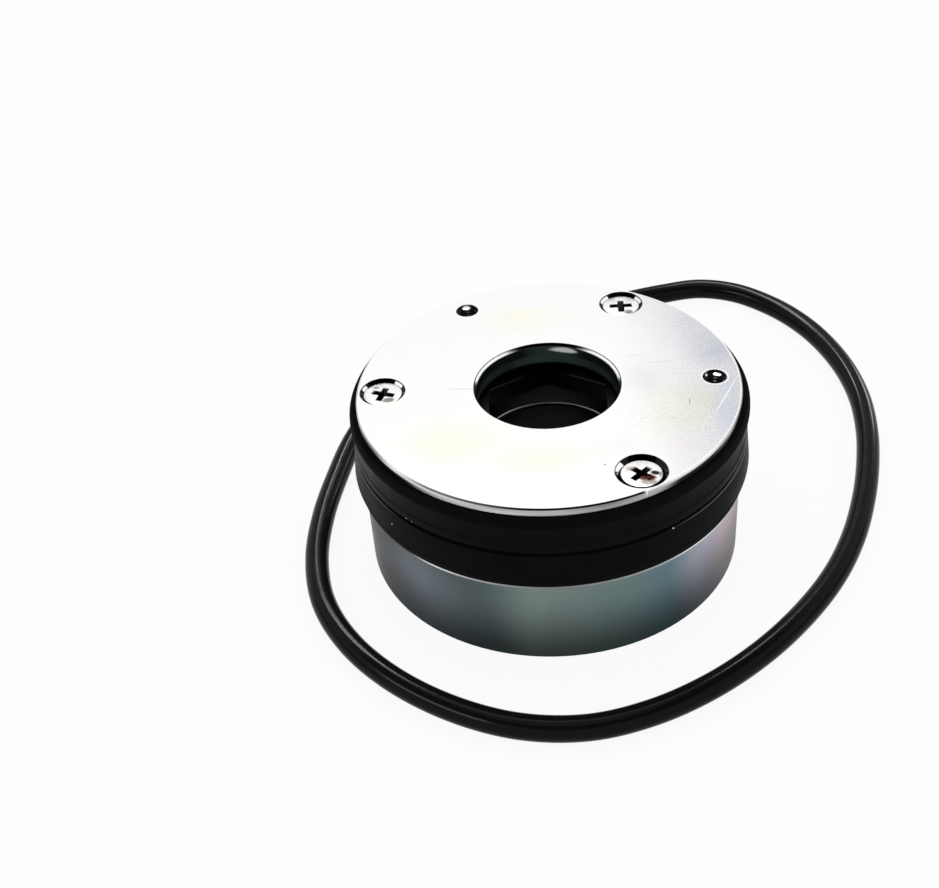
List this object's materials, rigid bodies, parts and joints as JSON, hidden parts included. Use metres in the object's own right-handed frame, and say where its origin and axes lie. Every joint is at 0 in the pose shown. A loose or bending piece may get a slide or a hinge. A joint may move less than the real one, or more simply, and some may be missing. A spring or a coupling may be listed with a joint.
{
  "type": "spring-applied electromagnetic brake",
  "caption": "Spring-applied electromagnetic motor brake: magnet body with coil, armature plate, friction rotor with hexagon bore, screwed end plate, rubber cover ring and two-core lead.",
  "frame": {"origin": "centre of the magnet body's back face, which the brake stands on", "axes": "+Z along the shaft axis from the magnet body to the end plate; +Y towards the side where the lead leaves; +X to the right in the picture"},
  "size_m": [0.1176, 0.1407, 0.0346],
  "materials": {
    "zinc_body": "zinc plated and passivated, turned, faint blue-green tint",
    "zinc_plate": "zinc plated and passivated, bright, faint iridescent speckle",
    "screw_steel": "zinc plated",
    "ring_rubber": "moulded, semi-gloss",
    "rotor_metal": "machined",
    "friction_lining": "ground friction compound",
    "armature_steel": "ground",
    "sleeve_steel": "turned",
    "spring_steel": "drawn wire",
    "bobbin_plastic": "moulded nylon",
    "winding_wire": "enamelled copper",
    "resin": "cast",
    "lead_rubber": "moulded",
    "lead_sheath": "smooth sheath, soft sheen",
    "core_red": "smooth insulation",
    "core_black": "smooth insulation",
    "tinned_metal": "tinned, crimped"
  },
  "bodies": {
    "housing": {"magnet_body": "zinc_body", "coil_bobbin": "bobbin_plastic", "coil_winding": "winding_wire", "potting_resin": "resin", "coil_leads": "winding_wire", "lead_grommet": "lead_rubber", "lead_cable": "lead_sheath", "lead_core_red": "core_red", "lead_core_black": "core_black", "core_ferrules": "tinned_metal", "torque_spring_1": "spring_steel", "torque_spring_2": "spring_steel", "torque_spring_3": "spring_steel", "torque_spring_4": "spring_steel", "torque_spring_5": "spring_steel", "torque_spring_6": "spring_steel", "spacer_sleeve_1": "sleeve_steel", "spacer_sleeve_2": "sleeve_steel", "spacer_sleeve_3": "sleeve_steel", "end_plate": "zinc_plate", "plate_screws": "screw_steel", "cover_ring": "ring_rubber"},
    "armature": {"armature_plate": "armature_steel"},
    "rotor": {"rotor_carrier": "rotor_metal", "lining_front": "friction_lining", "lining_rear": "friction_lining"}
  },
  "joints": [
    {"name": "armature_slide", "type": "slide", "parent": "housing", "child": "armature", "axis": [0, 0, 1], "range_m": [-0.0003, 0], "stiffness_N_per_m": 3000, "springref_m": 0.003, "deforming": ["torque_spring_1", "torque_spring_2", "torque_spring_3", "torque_spring_4", "torque_spring_5", "torque_spring_6"]},
    {"name": "rotor_turn", "type": "hinge", "parent": "housing", "child": "rotor", "pos_m": [0, 0, 0.0275], "axis": [0, 0, 1], "continuous": true}
  ]
}
